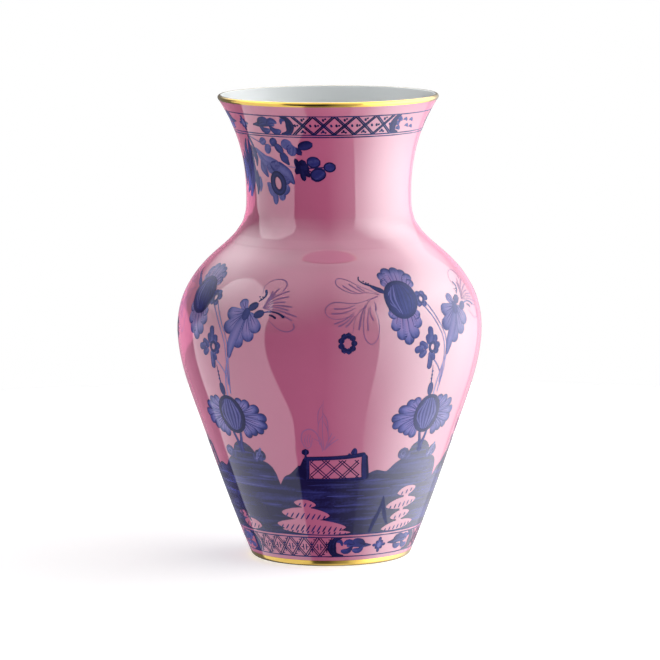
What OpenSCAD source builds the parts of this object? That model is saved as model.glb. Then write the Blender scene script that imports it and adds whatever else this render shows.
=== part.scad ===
// Baluster vase in porcelain with a flared neck, a pink ground and gilded edges.
// Origin: centre of the foot, on the surface that the vase stands on. +Z up.
// Every node is turned round Z. Each skin of glaze, ground or gold is a solid of
// its own, let into the porcelain, so that it lies face to face with it.

/* [Shape] */
// Height of the vase
height = 300; // [270:1:330]
// Diameter where the side leaves the rounded foot
foot_d = 105.4; // [98:0.2:112]
// Diameter of the lower side
waist_d = 161.4; // [156:0.2:166]
// Diameter of the belly, the widest place
belly_d = 197.2; // [188:0.2:206]
// Diameter halfway up the shoulder
shoulder_d = 143.8; // [138:0.2:150]
// Diameter where the shoulder turns into the neck
neck_root_d = 111.6; // [108:0.2:116]
// Diameter of the neck, the narrowest place
neck_d = 106.6; // [100:0.2:108]
// Diameter of the flared mouth
mouth_d = 144; // [138:0.2:150]

/* [Wall] */
// Thickness of the wall from the shoulder to the belly
wall = 4.6; // [4:0.1:6]
// Thickness of the wall at the lip, which is a half round
lip_t = 3.2; // [2.6:0.1:4]
// Thickness of the wall at the heel, just above the floor
heel_t = 6.2; // [5:0.1:8]
// Height of the floor inside
floor_z = 9; // [8:0.5:14]
// Radius between the floor and the wall
floor_fillet = 12; // [8:1:16]

/* [Foot] */
// Radius of the rounded outer edge
foot_round = 4; // [3:0.5:5]
// Width of the bare ring that the vase stands on
seat_w = 3.6; // [3:0.1:5]
// Bevel at the inner edge of that ring
seat_bevel = 0.8; // [0.4:0.1:1.2]
// Depth of the recess under the floor
recess = 3.4; // [2.4:0.1:4]

/* [Skins] */
// Thickness of the pink ground, the white glaze and the gold
skin_t = 0.3; // [0.2:0.05:0.4]
// Height of the gold round the foot
foot_gold_z = 4.3; // [3.5:0.1:5]
// Drop of the gold below the top of the lip
lip_gold_h = 3.2; // [3.2:0.1:5]

/* [Painted rings] */
// Width of a painted ring
ring_w = 0.6; // [0.4:0.1:1]
// Relief of a painted ring above the ground
ring_relief = 0.08; // [0.05:0.01:0.15]
// Drop of the neck border's upper ring below the top of the lip
neck_ring_drop = 9.4; // [8:0.2:14]
// Drop of the neck border's lower pair below the top of the lip
neck_pair_drop = 23; // [20:0.2:26]
// Distance between the rings of the neck border's pair
neck_pair_gap = 1.4; // [1.2:0.1:2.4]
// Height of the foot border's upper pair
foot_pair_z = 21.2; // [18:0.2:26]
// Distance between the rings of the foot border's pair
foot_pair_gap = 1.8; // [1.2:0.1:2.4]
// Height of the foot border's lower ring
foot_ring_z = 7.2; // [6.4:0.2:9]

/* [Hidden] */
$fn = 180;
step = 6;             // largest spacing of the outline's points, in height
arc_step = 15;        // largest spacing of the points of a round, in degrees
eps = 0.001;

// Outline of the finished outside: [height, radius, slope dr/dz]
k = height / 300;     // the knots are those of a 300 mm vase
waist_z = 80 * k;
neck_z = 236 * k;
knots = [
    [4 * k, foot_d / 2, 0.415],
    [waist_z, waist_d / 2, 0.337],
    [149 * k, belly_d / 2, 0],
    [200 * k, shoulder_d / 2, -1.2],
    [218 * k, neck_root_d / 2, -0.44],
    [neck_z, neck_d / 2, 0],
    [299 * k, mouth_d / 2, 0.67]
];

// Cubic between two knots, as [radius, slope] at height z
function cubic(a, b, z) =
    let (h = b[0] - a[0], t = (z - a[0]) / h, t2 = t * t, t3 = t2 * t)
    [
        (2 * t3 - 3 * t2 + 1) * a[1] + (t3 - 2 * t2 + t) * h * a[2]
            + (3 * t2 - 2 * t3) * b[1] + (t3 - t2) * h * b[2],
        6 * (t2 - t) * (a[1] - b[1]) / h + (3 * t2 - 4 * t + 1) * a[2] + (3 * t2 - 2 * t) * b[2]
    ];
function span(z, i = 0) = i >= len(knots) - 2 || z < knots[i + 1][0] ? i : span(z, i + 1);
function outside(z) = let (i = span(z)) cubic(knots[i], knots[i + 1], z);
function slope(z) = outside(z)[1];
// Point at a depth below the outside, measured square to it
function at(z, depth) =
    let (s = slope(z)) [outside(z)[0], z] + depth * [-1, s] / sqrt(1 + s * s);

function reversed(list) = [for (i = [len(list) - 1:-1:0]) list[i]];
function round_arc(centre, r, a0, a1) =
    let (n = ceil(abs(a1 - a0) / arc_step))
    [for (i = [0:n]) let (a = a0 + (a1 - a0) * i / n) centre + r * [cos(a), sin(a)]];

// Lip: a half round between the outside and the inside
lip_r = lip_t / 2;
lip_tilt = atan(knots[6][2]);
lip_z = height - lip_r - lip_r * sin(lip_tilt);
lip_c = [at(lip_z, lip_r)[0], height - lip_r];
lip_gold_z = height - lip_gold_h;
lip_gold_a = 105;             // how far the gold goes over the lip
function lip_arc(r, a0, a1) = round_arc(lip_c, r, a0, a1);

// Foot: the side rounds into the ring that the vase stands on
foot_tilt = atan(slope(foot_round / 2));
foot_z = foot_round * (1 - sin(foot_tilt));
foot_c = [at(foot_z, foot_round)[0], foot_round];
foot_gold_a = -70;            // where the gold ends above the bare ring
function foot_arc(r, a0, a1) = round_arc(foot_c, r, a0, a1);

// Wall: it grows from the lip to the neck, and from the waist to the heel
function wall_at(z) =
    z > neck_z ? lip_t + (wall - lip_t) * (lip_z - z) / (lip_z - neck_z)
        : z > waist_z ? wall
            : wall + (heel_t - wall) * (waist_z - z) / waist_z;

// Floor: the wall rounds into it
heel_tilt = atan(slope(floor_z));
heel_z = floor_z + floor_fillet - (heel_t + floor_fillet) * sin(heel_tilt);
heel_c = [at(heel_z, wall_at(heel_z) + floor_fillet)[0], floor_z + floor_fillet];

// Finished inside, from the lip down to the axis, sunk by a depth into the wall
inside_top = lip_z - 0.5;
inside_n = ceil((inside_top - heel_z) / step);
function inside(depth) = concat(
    lip_arc(lip_r - depth, lip_gold_a, 180 - lip_tilt),
    [for (i = [0:inside_n])
        let (z = inside_top + (heel_z - inside_top) * i / inside_n) at(z, wall_at(z) - depth)],
    round_arc(heel_c, floor_fillet + depth, -heel_tilt, -90),
    [[0, floor_z - depth]]
);

// Recess under the floor, from the edge of its glaze to the axis, raised by a lift
seat_r = foot_c[0];
recess_r = seat_r - seat_w;
recess_slant = 1.2;
recess_chamfer = 1;
glaze_edge = [recess_r - recess_slant, recess - recess_chamfer];
function recess_line(lift) = [
    glaze_edge + lift * [cos(45), sin(45)],
    [glaze_edge[0] - recess_chamfer + lift * tan(22.5), recess + lift],
    [0, recess + lift]
];

// Heights shared by every outer skin, so that neighbours have the same faces:
// the edges of the gildings and of the rings, with even steps between them
foot_rings = [foot_ring_z, foot_pair_z - foot_pair_gap / 2, foot_pair_z + foot_pair_gap / 2];
neck_pair_z = height - neck_pair_drop;
neck_rings = [neck_pair_z - neck_pair_gap / 2, neck_pair_z + neck_pair_gap / 2, height - neck_ring_drop];
marks = concat(
    [foot_z, foot_gold_z],
    [for (z = concat(foot_rings, neck_rings), side = [-1, 1]) z + side * ring_w / 2],
    [lip_gold_z, lip_z]
);
levels = concat(
    [for (i = [0:len(marks) - 2])
        let (rise = marks[i + 1] - marks[i], n = ceil(rise / step))
        for (j = [0:n - 1]) marks[i] + rise * j / n],
    [lip_z]
);
function run(z0, z1, depth) = [for (z = levels) if (z > z0 - eps && z < z1 + eps) at(z, depth)];

module porcelain_body() {
    color("whitesmoke") rotate_extrude() polygon(concat(
        foot_arc(foot_round, -90, foot_gold_a),
        foot_arc(foot_round - skin_t, foot_gold_a, -foot_tilt),
        run(foot_z, lip_z, skin_t),
        lip_arc(lip_r - skin_t, -lip_tilt, lip_gold_a),
        inside(skin_t),
        reversed(recess_line(skin_t)),
        [glaze_edge, [recess_r, seat_bevel], [recess_r + seat_bevel, 0]]
    ));
}

module lining_glaze() {
    color("white") rotate_extrude() polygon(concat(inside(0), reversed(inside(skin_t))));
}

module ground_glaze() {
    color("palevioletred") rotate_extrude() polygon(concat(
        run(foot_gold_z, lip_gold_z, 0),
        reversed(run(foot_gold_z, lip_gold_z, skin_t))
    ));
}

module base_glaze() {
    color("white") rotate_extrude() polygon(concat(recess_line(0), reversed(recess_line(skin_t))));
}

module lip_gilding() {
    color("gold") rotate_extrude() polygon(concat(
        run(lip_gold_z, lip_z, 0),
        lip_arc(lip_r, -lip_tilt, lip_gold_a),
        reversed(lip_arc(lip_r - skin_t, -lip_tilt, lip_gold_a)),
        reversed(run(lip_gold_z, lip_z, skin_t))
    ));
}

module foot_gilding() {
    color("gold") rotate_extrude() polygon(concat(
        foot_arc(foot_round, foot_gold_a, -foot_tilt),
        run(foot_z, foot_gold_z, 0),
        reversed(run(foot_z, foot_gold_z, skin_t)),
        reversed(foot_arc(foot_round - skin_t, foot_gold_a, -foot_tilt))
    ));
}

module painted_rings(heights) {
    color("midnightblue") for (z = heights)
        rotate_extrude() polygon(concat(
            run(z - ring_w / 2, z + ring_w / 2, -ring_relief),
            reversed(run(z - ring_w / 2, z + ring_w / 2, 0))
        ));
}

module neck_border_rings() {
    painted_rings(neck_rings);
}

module foot_border_rings() {
    painted_rings(foot_rings);
}

porcelain_body();
lining_glaze();
ground_glaze();
base_glaze();
lip_gilding();
foot_gilding();
neck_border_rings();
foot_border_rings();
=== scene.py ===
import bisect
import bpy
import math
import random
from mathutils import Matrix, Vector


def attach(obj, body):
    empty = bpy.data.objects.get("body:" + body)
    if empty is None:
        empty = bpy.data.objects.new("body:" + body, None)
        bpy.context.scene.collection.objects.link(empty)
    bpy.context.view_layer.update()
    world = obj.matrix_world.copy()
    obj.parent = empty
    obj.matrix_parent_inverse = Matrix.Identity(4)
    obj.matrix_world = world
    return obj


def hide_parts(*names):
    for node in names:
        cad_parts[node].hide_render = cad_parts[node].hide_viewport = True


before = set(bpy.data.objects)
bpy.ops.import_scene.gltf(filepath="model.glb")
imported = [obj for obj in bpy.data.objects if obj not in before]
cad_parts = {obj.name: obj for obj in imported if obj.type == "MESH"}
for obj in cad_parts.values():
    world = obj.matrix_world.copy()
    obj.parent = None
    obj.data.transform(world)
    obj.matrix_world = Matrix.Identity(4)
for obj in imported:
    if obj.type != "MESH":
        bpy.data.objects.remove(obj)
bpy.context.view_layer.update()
mm = 0.001


# A socket that can stand in an expression, and the tree that it belongs to.
class Wire:
    def __init__(self, tree, socket):
        self.tree, self.socket = tree, socket

    def math(self, operation, *others, clamp=False):
        settings = {"operation": operation, "use_clamp": clamp}
        return self.tree.add("ShaderNodeMath", settings, (self, *others))

    def __add__(self, other):
        return self.math("ADD", other)

    def __sub__(self, other):
        return self.math("SUBTRACT", other)

    def __mul__(self, other):
        return self.math("MULTIPLY", other)

    def __truediv__(self, other):
        return self.math("DIVIDE", other)

    def __radd__(self, other):
        return self.math("ADD", other)

    def __rmul__(self, other):
        return self.math("MULTIPLY", other)

    def __rsub__(self, other):
        return self.tree.add("ShaderNodeMath", {"operation": "SUBTRACT"}, (other, self))

    def clamped(self):              # between 0 and 1
        return self.math("ADD", 0, clamp=True)

    def positive(self):             # not below 0
        return self.math("MAXIMUM", 0)

    def output(self, name):         # another output of the same node
        return Wire(self.tree, self.socket.node.outputs[name])


# One way to add any node: its type, its settings, then the values or wires of its sockets.
class Tree:
    def __init__(self, tree):
        self.tree = tree

    def add(self, kind, settings=None, sockets=None, out=0):
        node = self.tree.nodes.new(kind)
        for name, value in (settings or {}).items():
            if name == "stops":
                self.setStops(node, value)
            else:
                setattr(node, name, value)
        pairs = sockets.items() if isinstance(sockets, dict) else enumerate(sockets or ())
        for key, value in pairs:
            if value is None:
                continue
            socket = node.inputs[key]
            if isinstance(value, Wire):
                self.tree.links.new(value.socket, socket)
            else:
                socket.default_value = value
        return Wire(self, node.outputs[out]) if node.outputs else node

    def setStops(self, node, stops):
        ramp = node.color_ramp
        while len(ramp.elements) < len(stops):
            ramp.elements.new(0.5)
        for element, (place, colour) in zip(ramp.elements, stops):
            element.position, element.color = place, (*colour, 1)

    def mixColour(self, share, first, second, blend="MIX"):
        settings = {"data_type": "RGBA", "blend_type": blend}
        return self.add("ShaderNodeMix", settings, {0: share, 6: solid(first), 7: solid(second)}, 2)

    def axis(self, vector, name):
        return self.add("ShaderNodeSeparateXYZ", None, (vector,), name)


def solid(colour):
    return colour if isinstance(colour, Wire) else (*colour, 1)


# The view and the light, in metres and degrees.
viewFacts = {
    "distance": 3.0,            # from the camera to the vase's axis
    "height": 0.5366,
    "pitch": 7.407,             # below level
    "roll": 0.36,
    "lens": 254.6, "sensor": 36,
    "shift": 0.0064,            # puts the vase a little left of the middle
    "reach": 30,                # how far the camera sees
}

lightFacts = {
    "side": 0.95,               # distance of the big panels from the axis
    "low": -2.6, "high": 1.6,   # they reach below the table, so they show down to the foot
    # Each panel along its depth and its height: its whole span, where its bright part starts
    # and ends and how softly, how that widens below, how its top is rounded, and how bright
    # it is in its lamp, along its depth, below the table and on matt surfaces.
    "right": {
        "span": (-1.9, 1.6),
        "front": -1.31, "frontFade": 0.06, "flare": 0.03, "flarePower": 1.8,
        "back": 1.5, "backFade": 0.03, "backFlare": 0, "flareFrom": 0.3,
        "top": 1.6, "topFade": 0.9, "corner": 0, "cornerReach": 0.6, "round": 0,
        "glow": 1.9, "tilt": -0.7, "lamp": 5.0, "lampAt": -0.05, "lampFocus": 2,
        "dimming": 0.5, "dimmest": 0.24, "fill": 7.4,
    },
    "left": {
        "span": (-1.9, 1.6),
        "front": -0.88, "frontFade": 0.04, "flare": 0.22, "flarePower": 1.8,
        "back": 0.36, "backFade": 0.03, "backFlare": 1, "flareFrom": 0.3,
        "top": 1.4, "topFade": 0.1, "corner": -0.25, "cornerReach": 0.6, "round": 0.35,
        "glow": 2.1, "tilt": -0.15, "lamp": 0, "lampAt": 0, "lampFocus": 2,
        "dimming": 0.12, "dimmest": 0.24, "fill": 6.0,
    },
}

# Nine small cards side by side under the flare of the mouth
cardFacts = {
    "count": 9, "pitch": 9.5, "size": (0.0114, 0.005),
    "radius": 0.068, "height": 0.283,
    "glow": 2.0, "colour": (1, 0.72, 0.8),
}

roomFacts = {
    "matt": 0.12,                             # what the ceiling gives to matt surfaces
    "level": 0.08,                            # the room at eye level, in reflections
    "ceiling": 2.0, "ceilingPower": 2.5,
    "ceilingRight": 2.3, "ceilingLeft": 2.4,  # more of it over either side
    "rear": 3.8, "rearFrom": 0.22, "rearFade": 0.45,   # the ceiling behind the vase
    "rearTilt": 0.8, "rearBase": 0.6, "rearMost": 1.2,
    "turnover": 5,                            # how quickly front turns into rear over the vase
    "floor": 1.6, "floorPower": 14,           # straight below, under the foot
    "wall": 0.1, "wallTilt": -0.4,            # the room behind the vase, brighter to the left
    "haze": 2.4, "hazeFrom": -0.05,           # faint glow in front of the right panel
}

floorFacts = {
    "radius": 0.8, "corners": 96,
    "drop": 0.0001,             # just clear of the ring that the vase stands on
    "colour": (0.9, 0.9, 0.9, 1), "roughness": 0.9,
    "glow": 0.42,
}


def makeCamera(facts):
    data = bpy.data.cameras.new("studioCamera")
    data.lens = facts["lens"]
    data.sensor_width = facts["sensor"]
    data.shift_x = facts["shift"]
    data.clip_end = facts["reach"]
    camera = bpy.data.objects.new("studioCamera", data)
    camera.location = (0, -facts["distance"], facts["height"])
    camera.rotation_euler = (math.radians(90 - facts["pitch"]), math.radians(facts["roll"]), 0)
    bpy.context.scene.collection.objects.link(camera)
    bpy.context.scene.camera = camera


# A soft panel at one side of the vase, brighter in the middle of its depth, where its lamp is.
# It comes twice: a bright one for the reflections and a plain one for the matt surfaces.
# The bright one is cut to the outline that its reflection shows, wider towards the bottom.
def makePanel(name, side, facts):
    cut = facts[name]
    start, end = cut["span"]
    low, high = facts["low"], facts["high"]
    for part in ("Shine", "Fill"):
        shine = part == "Shine"
        data = bpy.data.lights.new(name + part, "AREA")
        data.shape = "RECTANGLE"
        data.size = end - start
        data.size_y = high - low
        data.energy = math.pi * data.size * data.size_y
        data.use_nodes = True
        data.node_tree.nodes.clear()
        tree = Tree(data.node_tree)
        strength = cut["fill"]
        if shine:
            across = tree.add("ShaderNodeNewGeometry", out="Parametric")
            y = (tree.axis(across, "X") - 0.5) * side * data.size + (start + end) / 2
            z = tree.axis(across, "Y") * data.size_y + low
            strength = panelGlow(y, z, cut)
            data.cycles.max_bounces = 1
        light = tree.add("ShaderNodeEmission", None, {"Strength": strength})
        tree.add("ShaderNodeOutputLight", None, (light,))
        panel = bpy.data.objects.new(name + part, data)
        panel.location = (side * facts["side"], (start + end) / 2, (low + high) / 2)
        panel.rotation_euler = Vector((-side, 0, 0)).to_track_quat("-Z", "Y").to_euler()
        panel.visible_camera = False
        panel.visible_diffuse = not shine
        panel.visible_glossy = shine
        bpy.context.scene.collection.objects.link(panel)


# How bright a panel is at a depth y and a height z
def panelGlow(y, z, cut):
    under = (z * -1).positive().math("POWER", cut["flarePower"])
    fore = ((y - cut["front"] + under * cut["flare"]) / cut["frontFade"]).clamped()
    widening = (z * -1 + cut["flareFrom"]).positive() * cut["backFlare"]
    aft = ((widening + cut["back"] - y) / cut["backFade"]).clamped()
    offCorner = (y - cut["corner"]).math("ABSOLUTE") / cut["cornerReach"]
    corner = offCorner.math("POWER", 4) * cut["round"]
    top = ((cut["top"] - corner - z) / cut["topFade"]).clamped()
    offLamp = y - cut["lampAt"]
    heart = (offLamp * offLamp * -cut["lampFocus"]).math("EXPONENT")
    dim = (z.math("MINIMUM", 0) * cut["dimming"] + 1).math("MAXIMUM", cut["dimmest"])
    return (heart * cut["lamp"] + y * cut["tilt"] + cut["glow"]) * dim * fore * aft * top


# Small cards under the flare of the mouth, which keep its image in the shoulder pale
def makeCards(facts):
    width, depth = facts["size"]
    for number in range(facts["count"]):
        angle = math.radians((number - (facts["count"] - 1) / 2) * facts["pitch"])
        data = bpy.data.lights.new("flareCard", "AREA")
        data.shape = "RECTANGLE"
        data.size = width
        data.size_y = depth
        data.energy = math.pi * width * depth * facts["glow"]
        data.color = facts["colour"]
        data.cycles.max_bounces = 1
        card = bpy.data.objects.new("flareCard", data)
        across, forward = math.sin(angle), -math.cos(angle)
        card.location = (facts["radius"] * across, facts["radius"] * forward, facts["height"])
        card.rotation_euler = (0, 0, angle)
        card.visible_camera = False
        card.visible_diffuse = False
        bpy.context.scene.collection.objects.link(card)


# A white backdrop, and for the light that falls on the vase a dim room with a bright ceiling
def makeRoom(facts):
    world = bpy.data.worlds.new("room")
    bpy.context.scene.world = world
    world.use_nodes = True
    world.node_tree.nodes.clear()
    tree = Tree(world.node_tree)
    seen = tree.add("ShaderNodeLightPath", out="Is Camera Ray")
    matt = seen.output("Is Diffuse Ray")
    way = tree.add("ShaderNodeTexCoord")
    right, back, up = (tree.axis(way, name) for name in "XYZ")
    rise = up.positive()
    front = (rise.math("POWER", facts["ceilingPower"]) * facts["ceiling"]
             + rise * right.positive() * facts["ceilingRight"]
             + rise * (right * -1).positive() * facts["ceilingLeft"])
    rearShare = (back * facts["rearTilt"] + facts["rearBase"]).math("MINIMUM", facts["rearMost"])
    rear = ((rise - facts["rearFrom"]) / facts["rearFade"]).clamped() * rearShare * facts["rear"]
    behind = (back * facts["turnover"] + 0.5).clamped()
    ceiling = behind * rear + (1 - behind) * front
    wall = back.positive() * (right * facts["wallTilt"] + facts["wall"]).positive()
    haze = (right - facts["hazeFrom"]).positive() * facts["haze"]
    below = (up * -1).positive().math("POWER", facts["floorPower"]) * facts["floor"]
    room = ceiling + wall + haze + below + facts["level"]
    falling = matt * rise * facts["matt"] + (1 - matt) * room
    glow = seen + (1 - seen) * falling
    light = tree.add("ShaderNodeBackground", None, {"Color": (1, 1, 1, 1), "Strength": glow})
    tree.add("ShaderNodeOutputWorld", None, {"Surface": light})


def makeFloor(facts):
    bpy.ops.mesh.primitive_circle_add(vertices=facts["corners"], radius=facts["radius"],
                                      fill_type="NGON", location=(0, 0, -facts["drop"]))
    floor = bpy.context.active_object
    floor.name = "paleFloor"
    floor.visible_glossy = False
    paint = bpy.data.materials.new("paleFloor")
    paint.use_nodes = True
    shader = paint.node_tree.nodes["Principled BSDF"]
    shader.inputs["Base Color"].default_value = facts["colour"]
    shader.inputs["Roughness"].default_value = facts["roughness"]
    shader.inputs["Emission Color"].default_value = (1, 1, 1, 1)
    shader.inputs["Emission Strength"].default_value = facts["glow"]
    floor.data.materials.append(paint)


makeCamera(viewFacts)
makeCards(cardFacts)
makePanel("right", 1, lightFacts)
makePanel("left", -1, lightFacts)
makeRoom(roomFacts)
makeFloor(floorFacts)
bpy.context.scene.view_settings.view_transform = "Standard"
print("camera, lights and floor set")


# The shape repeats the CAD part's, in millimetres. Each knot of the outside: height, radius, slope.
vaseShape = {
    "knots": [(4, 52.7, 0.415), (80, 80.7, 0.337), (149, 98.6, 0), (200, 71.9, -1.2),
              (218, 55.8, -0.44), (236, 53.3, 0), (299, 72, 0.67)],
    "height": 300,
    "wall": 4.6, "lip": 3.2, "heel": 6.2,     # thickness at the belly, the lip and the heel
    "floor": 9, "floorFillet": 12,
    "footRound": 4, "footGoldTop": 4.3, "footGoldAngle": -70,
    "lipGoldDrop": 3.2, "lipGoldAngle": 105,
    "skin": 0.3,
    "relief": 0.1,              # the ground lies this far below the tops of the paint and the gold
    "sink": 0.04,               # and the lining this far below the gold's inner edge
    "tuck": 0.6,                # how far the ground goes on under the gold
    "tuckAngle": 6,             # and how far the lining does, in degrees round the lip
}
knots = vaseShape["knots"]
waistZ, neckZ = knots[1][0], knots[5][0]


# Radius of the outside at a height, and its slope there
def outsideAt(z):
    low = max(i for i in range(len(knots) - 1) if i == 0 or z >= knots[i][0])
    (za, ra, sa), (zb, rb, sb) = knots[low], knots[low + 1]
    h = zb - za
    t = (z - za) / h
    radius = ((2 * t**3 - 3 * t**2 + 1) * ra + (t**3 - 2 * t**2 + t) * h * sa
              + (3 * t**2 - 2 * t**3) * rb + (t**3 - t**2) * h * sb)
    slope = (6 * (t * t - t) * (ra - rb) / h
             + (3 * t * t - 4 * t + 1) * sa + (3 * t * t - 2 * t) * sb)
    return radius, slope


# Point of the section at a depth below the outside, measured square to it
def sectionPoint(z, depth):
    radius, slope = outsideAt(z)
    length = math.hypot(1, slope)
    return radius - depth / length, z + depth * slope / length


def sectionRun(z0, z1, depth, spacing):
    count = max(1, round(abs(z1 - z0) / spacing))
    return [sectionPoint(z0 + (z1 - z0) * i / count, depth) for i in range(count + 1)]


def sectionArc(centre, radius, start, end, spacing):
    count = max(2, round(math.radians(abs(end - start)) * radius / spacing))
    angles = [math.radians(start + (end - start) * i / count) for i in range(count + 1)]
    return [(centre[0] + radius * math.cos(a), centre[1] + radius * math.sin(a)) for a in angles]


def wallAt(z):
    wall = vaseShape["wall"]
    if z > neckZ:
        return vaseShape["lip"] + (wall - vaseShape["lip"]) * (lipZ - z) / (lipZ - neckZ)
    if z > waistZ:
        return wall
    return wall + (vaseShape["heel"] - wall) * (waistZ - z) / waistZ


lipR = vaseShape["lip"] / 2
lipTilt = math.atan(knots[6][2])
lipZ = vaseShape["height"] - lipR - lipR * math.sin(lipTilt)
lipCentre = (sectionPoint(lipZ, lipR)[0], vaseShape["height"] - lipR)
lipStart = -math.degrees(lipTilt)
lipGoldZ = vaseShape["height"] - vaseShape["lipGoldDrop"]
footR = vaseShape["footRound"]
footTilt = math.atan(outsideAt(footR / 2)[1])
footZ = footR * (1 - math.sin(footTilt))
footCentre = (sectionPoint(footZ, footR)[0], footR)
footEnd = -math.degrees(footTilt)
fillet = vaseShape["floorFillet"]
heelTilt = math.atan(outsideAt(vaseShape["floor"])[1])
heelZ = vaseShape["floor"] + fillet - (vaseShape["heel"] + fillet) * math.sin(heelTilt)
heelCentre = (sectionPoint(heelZ, wallAt(heelZ) + fillet)[0], vaseShape["floor"] + fillet)


# Closed sections of the skins: the seen side finely spaced, the hidden side coarsely.
def groundSection():
    bottom, top = vaseShape["footGoldTop"] - vaseShape["tuck"], lipGoldZ + vaseShape["tuck"]
    seen = sectionRun(bottom, top, vaseShape["relief"], 1.5)
    hidden = sectionRun(bottom, top, vaseShape["skin"] - 0.02, 8)
    return seen + hidden[::-1]


# The finished inside from the lip to the axis, sunk by a depth into the wall
def insideLine(depth, spacing, floorSteps=12):
    top = lipZ - 0.5
    count = round((top - heelZ) / spacing)
    wall = [top + (heelZ - top) * i / count for i in range(count + 1)]
    lipFrom, lipTo = vaseShape["lipGoldAngle"] - vaseShape["tuckAngle"], 180 + lipStart
    shares = [1 - i / floorSteps for i in range(1, floorSteps + 1)]
    return (sectionArc(lipCentre, lipR - depth, lipFrom, lipTo, spacing / 8)
            + [sectionPoint(z, wallAt(z) - depth) for z in wall]
            + sectionArc(heelCentre, fillet + depth, -math.degrees(heelTilt), -90, spacing / 2)
            + [(heelCentre[0] * share, vaseShape["floor"] - depth) for share in shares])


def liningSection():
    return insideLine(vaseShape["sink"], 1.6) + insideLine(vaseShape["skin"], 8)[::-1]


def lipGoldSection():
    skin = vaseShape["skin"]
    gold = vaseShape["lipGoldAngle"]
    seen = (sectionRun(lipGoldZ, lipZ, 0, 0.25)[:-1]
            + sectionArc(lipCentre, lipR, lipStart, gold, 0.12))
    hidden = (sectionRun(lipGoldZ, lipZ, skin, 0.6)[:-1]
              + sectionArc(lipCentre, lipR - skin, lipStart, gold, 0.4))
    return seen + hidden[::-1]


def footGoldSection():
    skin = vaseShape["skin"]
    gold = vaseShape["footGoldAngle"]
    top = vaseShape["footGoldTop"]
    seen = (sectionArc(footCentre, footR, gold, footEnd, 0.2)
            + sectionRun(footZ, top, 0, 0.3)[1:])
    hidden = (sectionArc(footCentre, footR - skin, gold, footEnd, 0.6)
              + sectionRun(footZ, top, skin, 0.6)[1:])
    return seen + hidden[::-1]


# An empty Geometry Nodes tree with named inputs
def newTree(name, inputs):
    group = bpy.data.node_groups.new(name, "GeometryNodeTree")
    sockets = group.interface
    sockets.new_socket("Geometry", in_out="OUTPUT", socket_type="NodeSocketGeometry")
    sockets.new_socket("Geometry", in_out="INPUT", socket_type="NodeSocketGeometry")
    for label, (kind, value) in inputs.items():
        socket = sockets.new_socket(label, in_out="INPUT", socket_type="NodeSocket" + kind)
        if value is not None:
            socket.default_value = value
    tree = Tree(group)
    entry = group.nodes.new("NodeGroupInput")
    given = {socket.name: Wire(tree, socket) for socket in entry.outputs if socket.name}
    return group, tree, given


# Turns a closed section, drawn in the XZ plane, round Z.
def makeTurningTree():
    group, tree, given = newTree("turnedSkin", {
        "Steps Round": ("Int", 300), "Material": ("Material", None)})
    points = tree.add("GeometryNodeAttributeDomainSize", {"component": "MESH"},
                      {"Geometry": given["Geometry"]})
    steps = given["Steps Round"]
    grid = tree.add("GeometryNodeMeshGrid", None, {
        "Size X": 1.0, "Size Y": 1.0, "Vertices X": steps + 1, "Vertices Y": points + 1})
    index = tree.add("GeometryNodeInputIndex")
    column = index.math("DIVIDE", points + 1).math("FLOOR")
    row = (index - column * (points + 1)).math("MODULO", points)
    place = tree.add("GeometryNodeInputPosition")
    section = tree.add("GeometryNodeSampleIndex", {"data_type": "FLOAT_VECTOR", "domain": "POINT"},
                       {"Geometry": given["Geometry"], "Value": place, "Index": row})
    turn = column / steps * (2 * math.pi)
    turned = tree.add("ShaderNodeVectorRotate", {"rotation_type": "Z_AXIS"},
                      {"Vector": section, "Angle": turn})
    moved = tree.add("GeometryNodeSetPosition", None, {"Geometry": grid, "Position": turned})
    closed = tree.add("GeometryNodeMergeByDistance", None, {"Geometry": moved, "Distance": 1e-6})
    endTree(tree, closed, given["Material"])
    return group


def endTree(tree, shape, material):
    whole = tree.add("GeometryNodeRealizeInstances", None, {"Geometry": shape})
    painted = tree.add("GeometryNodeSetMaterial", None, {"Geometry": whole, "Material": material})
    tree.add("NodeGroupOutput", None, {"Geometry": painted})


def setInput(modifier, label, value):
    for item in modifier.node_group.interface.items_tree:
        if item.item_type == "SOCKET" and item.in_out == "INPUT" and item.name == label:
            modifier[item.identifier] = value


# Runs a tree over an object's mesh and gives back a plain mesh object.
def runTree(name, mesh, group, values):
    source = bpy.data.objects.new(name + "Source", mesh)
    bpy.context.scene.collection.objects.link(source)
    modifier = source.modifiers.new("make", "NODES")
    modifier.node_group = group
    for label, value in values.items():
        setInput(modifier, label, value)
    view = bpy.context.evaluated_depsgraph_get()
    made = bpy.data.meshes.new_from_object(source.evaluated_get(view), depsgraph=view)
    source.modifiers.clear()
    bpy.data.objects.remove(source)
    made.name = name
    piece = bpy.data.objects.new(name, made)
    bpy.context.scene.collection.objects.link(piece)
    return piece


# Smooths a piece, hangs it on the body that it rides on and hides the CAD node that it replaces.
def handOver(piece, replaced):
    piece.data.shade_smooth()
    piece.data.set_sharp_from_angle(angle=math.radians(40))
    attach(piece, "root")
    if replaced:
        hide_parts(replaced)
    print(piece.name, len(piece.data.polygons), "faces")


def turnSection(name, section, material, replaced, steps=300):
    mesh = bpy.data.meshes.new(name + "Section")
    mesh.from_pydata([(r * mm, 0, z * mm) for r, z in section], [], [])
    piece = runTree(name, mesh, turningTree, {"Steps Round": steps, "Material": material})
    handOver(piece, replaced)


turningTree = makeTurningTree()


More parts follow.
